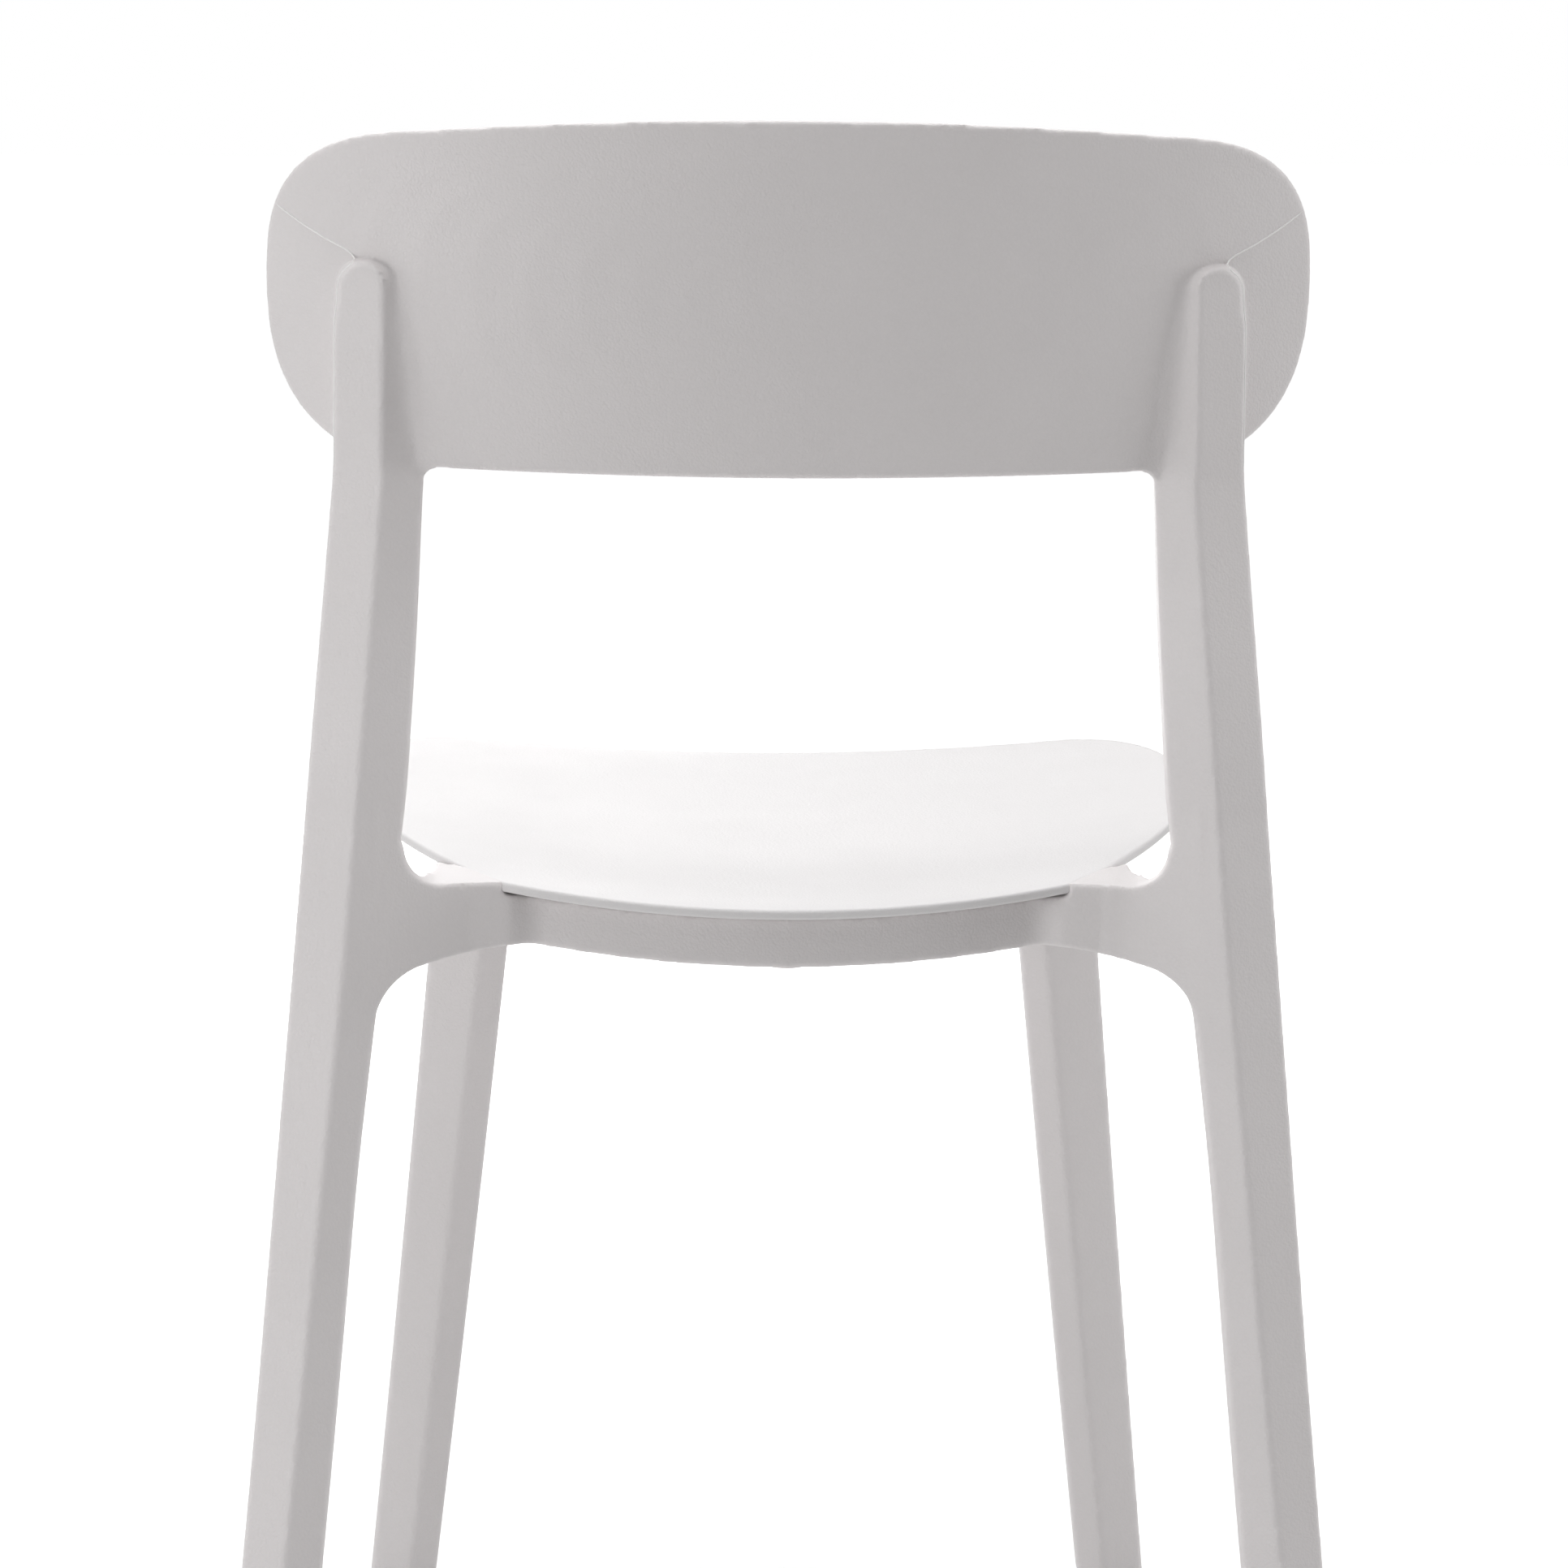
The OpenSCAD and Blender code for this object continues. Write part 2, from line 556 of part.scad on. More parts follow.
back_frame();
seat_shell();
front_frame();
glide_rear_left();
glide_rear_right();
glide_front_left();
glide_front_right();
stack_pad_front_left();
stack_pad_front_right();
stack_pad_rear_left();
stack_pad_rear_right();
seat_screws();
frame_bolts();
bolt_washers();
threaded_inserts();
rail_plug();
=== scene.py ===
# Moulded stacking chair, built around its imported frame.
# Metres; the chair faces -Y, +X is the sitter's left, the floor is z = 0.
import math

import bmesh
import bpy
import numpy as np
from mathutils import Matrix, Vector


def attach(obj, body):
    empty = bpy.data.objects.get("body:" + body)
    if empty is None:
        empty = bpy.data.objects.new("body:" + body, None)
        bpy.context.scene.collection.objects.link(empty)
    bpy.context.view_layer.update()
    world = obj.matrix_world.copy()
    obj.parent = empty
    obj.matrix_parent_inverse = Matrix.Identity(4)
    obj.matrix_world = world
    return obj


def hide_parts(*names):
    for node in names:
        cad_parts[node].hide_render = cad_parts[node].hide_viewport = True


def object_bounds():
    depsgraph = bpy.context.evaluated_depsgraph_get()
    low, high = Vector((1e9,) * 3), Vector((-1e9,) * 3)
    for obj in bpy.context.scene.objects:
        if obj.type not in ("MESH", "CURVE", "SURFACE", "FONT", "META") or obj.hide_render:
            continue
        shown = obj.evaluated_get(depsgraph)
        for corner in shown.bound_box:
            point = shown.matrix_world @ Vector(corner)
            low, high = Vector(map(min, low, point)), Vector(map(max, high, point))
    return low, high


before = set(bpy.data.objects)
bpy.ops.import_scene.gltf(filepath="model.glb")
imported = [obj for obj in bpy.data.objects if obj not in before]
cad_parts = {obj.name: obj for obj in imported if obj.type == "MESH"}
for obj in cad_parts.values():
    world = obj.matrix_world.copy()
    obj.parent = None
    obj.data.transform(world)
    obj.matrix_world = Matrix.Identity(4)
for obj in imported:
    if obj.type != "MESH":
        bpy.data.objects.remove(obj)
cadLow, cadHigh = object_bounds()
print("frame loaded")

scene = bpy.context.scene
halfWidth = cadHigh.x
halfDepth = cadHigh.y
chairHeight = cadHigh.z


# behind the chair, a little above the seat and a little to one side
camera = {
    "place": (0.072, 2.3912, 0.7968),
    "turn": 1.815,          # degrees to the side
    "tilt": 8.252,          # degrees down
    "roll": 0.471,
    "lens": 119.25,
}


def placeCamera():
    turn, tilt, roll = (math.radians(camera[k]) for k in ("turn", "tilt", "roll"))
    forward = Vector((-math.sin(turn) * math.cos(tilt), -math.cos(turn) * math.cos(tilt), -math.sin(tilt)))
    level = Vector((-math.cos(turn), math.sin(turn), 0))
    upright = level.cross(forward)
    right = math.cos(roll) * level + math.sin(roll) * upright
    up = -math.sin(roll) * level + math.cos(roll) * upright
    data = bpy.data.cameras.new("camera")
    data.lens = camera["lens"]
    data.sensor_width = 36
    data.clip_end = 50
    eye = bpy.data.objects.new("camera", data)
    scene.collection.objects.link(eye)
    axes = Matrix((right, up, -forward)).transposed().to_4x4()
    eye.matrix_world = Matrix.Translation(Vector(camera["place"])) @ axes
    scene.camera = eye


placeCamera()


def mix(a, b, t):
    return a + (b - a) * t


def ease(t):
    t = min(1, max(0, t))
    return t * t * (3 - 2 * t)


def softMax(a, b, k):
    return 0.5 * (a + b + math.sqrt((a - b) ** 2 + k * k))


def evenly(a, b, count):
    return [mix(a, b, i / (count - 1)) for i in range(count)]


def smoothRow(rows, at, column, reach=0.02):
    heights = [r[0] for r in rows]
    values = [r[column] for r in rows]
    return float(np.mean([np.interp(at + d * reach, heights, values) for d in (-1, -0.5, 0, 0.5, 1)]))


def meshObject(name, points, faces):
    mesh = bpy.data.meshes.new(name)
    mesh.from_pydata([tuple(p) for p in points], [], faces)
    mesh.validate()
    mesh.update()
    piece = bpy.data.objects.new(name, mesh)
    scene.collection.objects.link(piece)
    return piece


def loft(rings, closed=True):
    n = len(rings[0])
    points = [p for ring in rings for p in ring]
    faces = []
    for i in range(len(rings) - 1):
        for j in range(n):
            k = (j + 1) % n
            faces.append((i * n + j, i * n + k, (i + 1) * n + k, (i + 1) * n + j))
    if closed:
        faces.append(tuple(reversed(range(n))))
        faces.append(tuple((len(rings) - 1) * n + j for j in range(n)))
    return points, faces


def joinParts(parts):
    points, faces = [], []
    for p, f in parts:
        start = len(points)
        points += [tuple(q) for q in p]
        faces += [tuple(start + i for i in face) for face in f]
    return points, faces


def mirrored(part):
    points, faces = part
    return [(-p[0], p[1], p[2]) for p in points], [tuple(reversed(f)) for f in faces]


def fixNormals(piece):
    bm = bmesh.new()
    bm.from_mesh(piece.data)
    bmesh.ops.recalc_face_normals(bm, faces=bm.faces)
    bm.to_mesh(piece.data)
    bm.free()


def applyModifiers(piece):
    graph = bpy.context.evaluated_depsgraph_get()
    mesh = bpy.data.meshes.new_from_object(piece.evaluated_get(graph))
    piece.modifiers.clear()
    piece.data = mesh


def shadeSmooth(piece):
    for face in piece.data.polygons:
        face.use_smooth = True


# how fine each moulding's mesh is, and how often it is smoothed
mouldings = {
    "backFrame": {"voxel": 0.0014, "passes": 4},
    "frontFrame": {"voxel": 0.0019, "passes": 3},
}


def moulded(name, parts):
    piece = meshObject(name, *joinParts(parts))
    fixNormals(piece)
    remesh = piece.modifiers.new("remesh", "REMESH")
    remesh.mode = "VOXEL"
    remesh.voxel_size = mouldings[name]["voxel"]
    smooth = piece.modifiers.new("smooth", "SMOOTH")
    smooth.factor = 0.5
    smooth.iterations = mouldings[name]["passes"]
    applyModifiers(piece)
    shadeSmooth(piece)
    print(name, len(piece.data.polygons), "faces")
    return piece


# every length is in metres unless its note says otherwise
seat = {
    "height": 0.422,        # top of the seat at the middle of its rear edge
    "narrower": 0.100,      # than the chair
    "depth": 0.402,
    "thickness": 0.0044,
    "rearWidth": 0.247,
    "inset": 0.015,         # from the front of the legs
    "cornerBack": 0.028,    # how far the rear corners lie in front of the rear edge
    "notch": (0.018, 0.030),
    "sweep": (0.031, 0.060),
    "widest": 0.170,        # from the front edge
    "middle": 0.205,
    "lift": 0.0175,
    "dish": 0.018,
    "frontDishLess": 0.0065,
    "dishWide": 0.190,      # from the middle to where the dish is measured
    "rimRound": 0.0016,
    "cornerPower": 3.1,     # how square the front corners are, 2 is an ellipse
}
seatFront = -halfDepth + seat["inset"]
seatRear = seatFront + seat["depth"]
cornerX = seat["rearWidth"] / 2
cornerY = seatRear - seat["cornerBack"]
notchX = cornerX + seat["notch"][0]
notchY = cornerY - seat["notch"][1]
wideX = halfWidth - seat["narrower"] / 2
wideY = seatFront + seat["widest"]
seatMiddle = seatFront + seat["middle"]
# distance from the front edge, and height of the middle line as a share of the lift
seatLine = [(-0.020, -1.014), (0, -0.471), (0.020, -0.058), (0.045, 0), (0.115, -0.312),
            (0.215, -0.746), (0.295, -0.964), (0.345, -1.022), (0.402, -1.0)]


def seatTop(x, y):
    along = y - seatFront
    line = smoothRow(seatLine, along, 1, 0.012)
    rearShare = min(1, max(0, (along - 0.035) / (seat["depth"] - 0.070)))
    dish = mix(seat["dish"] - seat["frontDishLess"], seat["dish"], rearShare)
    return seat["height"] + seat["lift"] * (1 + line) + dish * (x / seat["dishWide"]) ** 2


def seatUnder(x, y):
    return seatTop(x, y) - seat["thickness"]


def rearEdge(x):
    drop = seatRear - cornerY
    r = (cornerX ** 2 + drop ** 2) / (2 * drop)
    return seatRear - r + math.sqrt(r * r - x * x)


def bezier(a, b, c, d, t):
    s = 1 - t
    weights = (s ** 3, 3 * s * s * t, 3 * s * t * t, t ** 3)
    return tuple(sum(w * p[i] for w, p in zip(weights, (a, b, c, d))) for i in (0, 1))


def seatOutline():
    power = 2 / seat["cornerPower"]
    handle = (notchX + seat["sweep"][0], notchY - seat["sweep"][1]), (wideX, wideY + 0.050)
    half = [(x, rearEdge(x)) for x in evenly(0, cornerX, 26)]
    half += [(mix(cornerX, notchX, t), mix(cornerY, notchY, t)) for t in evenly(0, 1, 9)[1:-1]]
    half += [bezier((notchX, notchY), *handle, (wideX, wideY), t) for t in evenly(0, 1, 40)]
    for a in evenly(0, 90, 60)[1:]:
        c, s = max(0, math.cos(math.radians(a))), math.sin(math.radians(a))
        half.append((wideX * c ** power, wideY - (wideY - seatFront) * s ** power))
    return half + [(-x, y) for x, y in reversed(half[1:-1])]


def insetOutline(outline, distance):
    n = len(outline)
    moved = []
    for i, (x, y) in enumerate(outline):
        ax, ay = outline[i - 1]
        bx, by = outline[(i + 1) % n]
        tx, ty = bx - ax, by - ay
        size = math.hypot(tx, ty) or 1
        moved.append((x + ty / size * distance, y - tx / size * distance))
    return moved


def fillMiddle(points, faces, first, count, level):
    # faces from side to side, so that no ring has to close to a point
    across = 24
    half = count // 2
    rows = []
    for i in range(1, half):
        right, left = points[first + i], points[first + count - i]
        row = [first + i]
        for k in range(1, across):
            x, y = mix(right[0], left[0], k / across), mix(right[1], left[1], k / across)
            row.append(len(points))
            points.append((x, y, seatTop(x, y) - level))
        rows.append(row + [first + count - i])
    for a, b in zip(rows, rows[1:]):
        faces += [(a[k], a[k + 1], b[k + 1], b[k]) for k in range(across)]
    faces.append(tuple([first] + rows[0]))
    faces.append(tuple([first + half] + rows[-1][::-1]))


def buildSeat():
    outline = seatOutline()
    r, t = seat["rimRound"], seat["thickness"]
    flat = 0.004            # how far the rim's rounding reaches inwards
    scales = (0.2, 0.3, 0.4, 0.5, 0.6, 0.7, 0.78, 0.85, 0.91, 0.955)
    # inset from the seat's edge and depth below its top, round the rim
    rim = ((flat, 0), (r, 0), (0.62 * r, 0.07 * r), (0.29 * r, 0.29 * r), (0.07 * r, 0.62 * r), (0, r),
           (0, t - 0.9 * r), (0.00015, t - 0.55 * r), (0.0006, t - 0.12 * r), (0.0014, t), (flat, t))

    def ring(inset, scale, level):
        pts = [(x * scale, mix(seatMiddle, y, scale)) for x, y in insetOutline(outline, inset)]
        return [(x, y, seatTop(x, y) - level) for x, y in pts]

    rings = [ring(flat, scale, 0) for scale in scales]
    rings += [ring(inset, 1, level) for inset, level in rim]
    rings += [ring(flat, scale, t) for scale in reversed(scales)]
    points, faces = loft(rings, closed=False)
    for first, level in ((0, 0), (len(points) - len(outline), t)):
        fillMiddle(points, faces, first, len(outline), level)
    piece = meshObject("seatShell", points, faces)
    fixNormals(piece)
    shadeSmooth(piece)
    return piece


backrest = {
    "width": 0.451,
    "tall": 0.151,
    "thickness": 0.0046,
    "radius": 0.400,
    "lean": 9,              # degrees
    "shoulder": 0.075,
    "crown": 0.0055,
    "fillet": 0.005,
    "topPower": 2.9,        # how square the corners are, 2 is an ellipse
    "lowPower": 2.4,
}
rearLegs = {
    "width": 0.0344,
    "depth": 0.030,
    "apart": 0.393,
    "postProud": 0.017,
    "tipProud": 0.0070,
    "tipRound": 0.0036,
    "tipCentre": 0.0115,    # from the post's outer edge to the middle of its tip
    "archLow": 0.86,        # share of the post's height where its arch starts
    "outerFall": 25,        # degrees from the ridge outwards
    "flankFall": 32,        # degrees from the ridge inwards
}
flankShares = (0.2, 0.4, 0.6, 0.8)
outerSlope = math.tan(math.radians(rearLegs["outerFall"]))
flankSlope = math.tan(math.radians(rearLegs["flankFall"]))
backLow = chairHeight - backrest["tall"]
backTopY = halfDepth - 0.008
backSide = chairHeight - 0.072
glideHeight = 0.004
postX = rearLegs["apart"] / 2
postTop = backLow + 0.6 * backrest["tall"]
legSeatZ = seat["height"] + 0.040
legSeatY = cornerY + 0.028


def backRear(x, z):
    r = backrest["radius"]
    lean = math.tan(math.radians(backrest["lean"]))
    return backTopY - (chairHeight - z) * lean - (r - math.sqrt(max(1e-6, r * r - x * x)))


def crownAt(x, flat):
    if x < flat:
        return backrest["crown"] * (x / flat) ** 2
    return backrest["crown"] * (1 + 0.16 * (1 - math.exp(-12.5 * (x - flat) / flat)))


def backOutline():
    shoulder = backrest["shoulder"]
    topPower, lowPower = 2 / backrest["topPower"], 2 / backrest["lowPower"]
    flat = backrest["width"] / 2 - shoulder
    lowCorner = backLow + 0.0015
    half = [(x, chairHeight - crownAt(x, flat)) for x in evenly(0, flat, 24)]
    for a in evenly(90, 0, 34)[1:]:
        c, s = max(0, math.cos(math.radians(a))), math.sin(math.radians(a))
        x = flat + shoulder * c ** topPower
        half.append((x, backSide + (chairHeight - backSide - crownAt(x, flat)) * s ** topPower))
    for a in evenly(0, 90, 36)[1:]:
        c, s = max(0, math.cos(math.radians(a))), math.sin(math.radians(a))
        half.append((flat + shoulder * c ** lowPower, backSide - (backSide - lowCorner) * s ** lowPower))
    half += [(x, backLow + 0.0015 * (x / flat) ** 2) for x in evenly(flat, 0, 24)[1:]]
    return half + [(-x, z) for x, z in reversed(half[1:-1])]


def backPanel():
    outline = backOutline()
    middle = mix(backLow, chairHeight, 0.5)
    t = backrest["thickness"]

    def ring(scale, front):
        pts = []
        for x, z in outline:
            px, pz = x * scale, middle + (z - middle) * scale
            slope = px / backrest["radius"]
            pts.append((px, backRear(px, pz) - (t / math.sqrt(1 - slope * slope) if front else 0), pz))
        return pts

    shares = (0.02, 0.1, 0.2, 0.3, 0.4, 0.5, 0.6, 0.7, 0.8, 0.88, 0.94, 0.98, 1)
    return loft([ring(s, False) for s in shares] + [ring(s, True) for s in reversed(shares)])


def legOuter(z):
    foot = halfWidth - 0.003
    if z > backLow:
        return postX - 0.0005 - (z - backLow) * 0.013
    share = (backLow - z) / (backLow - glideHeight)
    flare = 0.003 * max(0, 1 - (z - glideHeight) / (0.6 * seat["height"])) ** 2
    return postX - 0.0005 + (foot - postX + 0.0005) * share + flare


def legRidgeY(z):
    if z < legSeatZ:
        return mix(halfDepth, legSeatY, (z - glideHeight) / (legSeatZ - glideHeight))
    if z < backLow:
        return mix(legSeatY, backRear(postX - 0.020, backLow) + rearLegs["postProud"],
                   ease((z - legSeatZ) / (backLow - legSeatZ)))
    return backRear(postX - 0.020, z) + mix(rearLegs["postProud"], rearLegs["tipProud"],
                                            (z - backLow) / (postTop - backLow))


# each row: height, width beyond the foot's, share of the width outside the ridge, depth
legRows = [(glideHeight, 0, 0.50, 0.030), (0.33 * seat["height"], 0, 0.557, 0.031),
           (0.72 * seat["height"], 0.0004, 0.61, 0.032), (0.93 * seat["height"], 0.0034, 0.6, 0.032),
           (legSeatZ, 0.0084, 0.53, 0.032), (mix(legSeatZ, backLow, 0.5), 0.007, 0.545, 0.030),
           (backLow, 0.0042, 0.575, 0.021)]
# each row: share of the post's height, width beyond the foot's
postRows = [(0, 0.0042), (0.25, 0.0028), (0.53, 0.0006), (0.72, -0.0030), (0.86, -0.0066)]


def legInner(z):
    return legOuter(z) - rearLegs["width"] - smoothRow(legRows, z, 1)


def legFlankY(x, z):
    width = rearLegs["width"] + smoothRow(legRows, z, 1)
    ridgeX = legOuter(z) - width * smoothRow(legRows, z, 2)
    return legRidgeY(z) - (ridgeX - x) * flankSlope


def legRing(z):
    width = rearLegs["width"] + smoothRow(legRows, z, 1)
    share = smoothRow(legRows, z, 2)
    depth = smoothRow(legRows, z, 3)
    outer, ridge = legOuter(z), legRidgeY(z)
    a, b = width * share, width * (1 - share)
    flank = [(outer - a - b * s, ridge - b * s * flankSlope, z) for s in flankShares]
    return [(outer, ridge - a * outerSlope, z), (outer - a, ridge, z)] + flank + [
        (outer - width, ridge - b * flankSlope, z),
        (outer - width, ridge - depth + 0.003, z), (outer - width + 0.003, ridge - depth, z),
        (outer - 0.003, ridge - depth, z), (outer, ridge - depth + 0.003, z)]


def postWidth(share):
    shares = [row[0] for row in postRows]
    extras = [row[1] for row in postRows]
    return rearLegs["width"] + float(np.interp(min(share, rearLegs["archLow"]), shares, extras))


def postRing(z, share):
    # one level of the post that stands on the panel, whose inner side sweeps into the panel
    full = postWidth(share)
    archShare = max(0, share - rearLegs["archLow"]) / (1 - rearLegs["archLow"])
    narrowing = math.sqrt(max(0.0, 1 - archShare ** 2))
    outer = legOuter(z)
    centre = outer - rearLegs["tipCentre"]
    inner = outer - full
    outer, inner = mix(centre, outer, narrowing), mix(centre, inner, narrowing)
    width = outer - inner
    ridge = legRidgeY(z)
    a = min(0.0214, 0.8 * width)
    b = width - a
    half = backrest["thickness"] / 2
    low = backRear(inner, z) + 0.0004
    lift = ridge - backRear(outer - a, z)
    hollow = ease(share / 0.25)
    flank = []
    for s in flankShares:
        x = outer - a - b * s
        straight = ridge - b * s * flankSlope
        curved = backRear(x, z) + 0.0004 + lift * (1 - s) ** 2.1
        flank.append((x, mix(straight, curved, hollow), z))
    return [(outer, ridge - a * outerSlope, z), (outer - a, ridge, z)] + flank + [
        (inner, low, z), (inner, backRear(inner, z) - 0.001, z),
        (inner + 0.2 * width, backRear(inner, z) - half, z),
        (outer - 0.2 * width, backRear(outer, z) - half, z),
        (outer, backRear(outer, z) - 0.001, z)]


def backFillet():
    # rounds the corner between the post and the panel's lower edge
    r = backrest["fillet"]
    x0, z0 = legInner(backLow - 0.002), backLow + 0.0008
    outline = [(x0 + 0.003, backLow + 0.003)]
    outline += [(x0 - r + r * math.cos(math.radians(a)), z0 - r + r * math.sin(math.radians(a)))
                for a in evenly(0, 90, 8)]
    t = backrest["thickness"]
    rings = []
    for depth in (0.0002, t * 0.33, t * 0.66, t):
        rings.append([(x, backRear(x, backLow) - depth, z) for x, z in outline])
    return loft(rings)


def rearLeg():
    heights = evenly(glideHeight, backLow - 0.002, 80)
    shares = [0.03, 0.1, 0.2, 0.3, 0.4, 0.5, 0.6, 0.7, 0.78, 0.86, 0.89,
              0.915, 0.94, 0.96, 0.975, 0.987, 0.996]
    return loft([legRing(z) for z in heights] + [postRing(mix(backLow, postTop, s), s) for s in shares])


rail = {
    "tall": 0.023,
    "armTall": 0.029,
    "overhang": 0.012,
    "gap": 0.0014,
    "flush": 0.0003,        # how far the arm's top lies below the seat's
    "tipWide": 0.0125,
    "tipTall": 0.0042,
    "upperFillet": 0.0165,
    "lowerFillet": 0.027,
}
armTop = seatTop(cornerX, cornerY)
armLow = armTop - rail["armTall"]
railLow = seat["height"] - seat["thickness"] - rail["tall"]
railFront = notchY


def armHigh(x):
    r = rail["upperFillet"]
    start = legInner(legSeatZ) - r
    if x < start:
        return armTop
    return armTop + r - math.sqrt(max(0, r * r - (x - start) ** 2)) + max(0, x - start - r) * 2


def armUnder(x):
    r = rail["lowerFillet"]
    middleX, middleZ = legInner(armLow - 0.030) - r, armLow - 0.005 - r
    start = middleX + r * math.cos(math.radians(72))
    if x < cornerX - 0.010:
        return mix(railLow, armLow + 0.001, (x / (cornerX - 0.010)) ** 2)
    if x < start:
        stations = [cornerX - 0.010, cornerX + 0.004, cornerX + 0.022, start]
        levels = [armLow + 0.001, armLow, armLow - 0.003, middleZ + r * math.sin(math.radians(72))]
        return float(np.mean([np.interp(x + d, stations, levels) for d in (-0.003, 0, 0.003)]))
    return middleZ + math.sqrt(max(0, r * r - (x - middleX) ** 2)) - max(0, x - middleX - r)


def armRear(x, z):
    railFace = rearEdge(min(x, cornerX)) - rail["overhang"]
    face = cornerY + 0.0006 + (x - cornerX) * 0.20
    if x > 0.140:
        face = softMax(face, legFlankY(x, z) - 0.0003, 0.003)
    share = ease((x - 0.103) / 0.019)
    return mix(railFace, face, share) if x < cornerX else face


def seatEdgeY(x):
    # the seat's side edge, beside and in front of the arm
    return notchY - (x - notchX) * seat["sweep"][1] / seat["sweep"][0]


def armDeck(x, y):
    # height of the arm's top, which rises forwards until it is flush with the seat
    rear = armRear(x, armTop)
    edge = mix(cornerY, notchY, (x - cornerX) / (notchX - cornerX)) if x < notchX else seatEdgeY(x)
    flush = seatTop(x, edge) - rail["flush"] - 0.002 * ease((x - notchX) / rail["tipWide"])
    return mix(armTop, flush, min(1, max(0, (rear - y) / (rear - edge))))


def railSection(x):
    side = abs(x)
    low, high = armUnder(side), armHigh(side)
    rearLow, rearHigh = armRear(side, low), armRear(side, high)
    under = seatUnder(side, railFront) - rail["gap"]
    if side < cornerX + 0.0002:
        deck = seatUnder(side, rearHigh) - rail["gap"]
        return [(x, rearLow, low), (x, rearHigh, deck), (x, rearHigh - 0.002, deck),
                (x, rearHigh - 0.004, deck), (x, railFront, under), (x, railFront, low)]
    if side < notchX:
        edge = mix(cornerY, notchY, (side - cornerX) / (notchX - cornerX)) - 0.0015
        between = mix(rearHigh, edge, 0.6)
        return [(x, rearLow, low), (x, rearHigh, high), (x, between, armDeck(side, between)),
                (x, edge, armDeck(side, edge)), (x, railFront, armDeck(side, edge)), (x, railFront, low)]
    past = ease((side - notchX - rail["tipWide"]) / 0.007)
    front = min(railFront + 0.037 * past, rearHigh - 0.010)
    deck = [(x, y, mix(max(high, armDeck(side, y)), high, past))
            for y in (mix(rearHigh, front, 0.5), mix(rearHigh, front, 0.75), front)]
    return [(x, rearLow, low), (x, rearHigh, high)] + deck + [(x, front, low)]


def armTip():
    # the ledge that carries the arm's top forwards along the seat's edge
    rings = []
    for x in evenly(notchX - 0.004, notchX + rail["tipWide"], 8):
        front = seatEdgeY(max(x, notchX)) + 0.0004
        front, rear = min(front, railFront + 0.002), railFront + 0.006
        top, rearTop = armDeck(x, front), armDeck(x, rear)
        rings.append([(x, rear, rearTop), (x, front, top),
                      (x, front, top - rail["tipTall"]), (x, rear, rearTop - 0.006)])
    return loft(rings)


def flattenArms(piece):
    # crisp, level tops on the arms after moulding
    reach = legInner(legSeatZ) - rail["upperFillet"]
    for point in piece.data.vertices:
        x, y, z = abs(point.co.x), point.co.y, point.co.z
        if not cornerX < x < reach or y > armRear(x, armTop) - 0.0002:
            continue
        if y < min(railFront, seatEdgeY(x)) - 0.0005:
            continue
        deck = armDeck(x, y)
        if abs(z - deck) < 0.0019 and not (x < notchX and y < railFront):
            point.co.z = mix(z, deck, 1 - ease((x - reach + 0.004) / 0.004))


def rearBar():
    upper = legInner(legSeatZ) - rail["upperFillet"]
    lower = legInner(armLow - 0.030) - rail["lowerFillet"]
    half = evenly(0, 0.100, 14) + evenly(0.103, cornerX, 10)[:-1] + [cornerX, cornerX + 0.0003]
    half += evenly(cornerX + 0.002, notchX + 0.012, 12)
    half += [upper + rail["upperFillet"] * math.sin(math.radians(a)) for a in evenly(0, 88, 14)]
    half += [lower + rail["lowerFillet"] * math.sin(math.radians(a)) for a in evenly(25, 88, 14)]
    half = sorted(set(round(x, 5) for x in half))
    return loft([railSection(x) for x in [-x for x in reversed(half)] + half[1:]])


def roundPostTips(piece):
    # the rounded tip of each post rolls over into the panel
    radius, tipCentre = rearLegs["tipRound"], rearLegs["tipCentre"]
    archZ = mix(backLow, postTop, rearLegs["archLow"])
    archTall = postTop - archZ
    for point in piece.data.vertices:
        x, y, z = abs(point.co.x), point.co.y, point.co.z
        share = (z - backLow) / (postTop - backLow)
        panel = backRear(x, z)
        if share < 0.70 or y < panel or x < postX - 0.060:
            continue
        centre = legOuter(z) - tipCentre
        across = (x - centre) / (tipCentre if x > centre else postWidth(share) - tipCentre)
        inside = 1 - math.hypot(across, max(0, z - archZ) / archTall)
        depth = min(1, max(0, inside * tipCentre / radius))
        rolled = math.sqrt(1 - (1 - depth) ** 2)
        point.co.y = panel + (y - panel) * mix(1, rolled, ease((share - 0.70) / 0.16))


def buildBackFrame():
    leg, corner = rearLeg(), backFillet()
    tip = armTip()
    parts = [backPanel(), leg, mirrored(leg), corner, mirrored(corner), rearBar(), tip, mirrored(tip)]
    piece = moulded("backFrame", parts)
    roundPostTips(piece)
    flattenArms(piece)
    return piece


frontFrame = {
    "feetApart": 0.400,
    "topApart": 0.320,
    "legWidth": 0.0334,
    "railWidth": 0.020,
    "railTall": 0.024,
    "outerFall": 20,        # degrees from the ridge outwards
    "innerFall": 32,        # degrees from the ridge inwards
}
frontTopY = seatFront + 0.032
frontTopZ = seat["height"] + 0.007


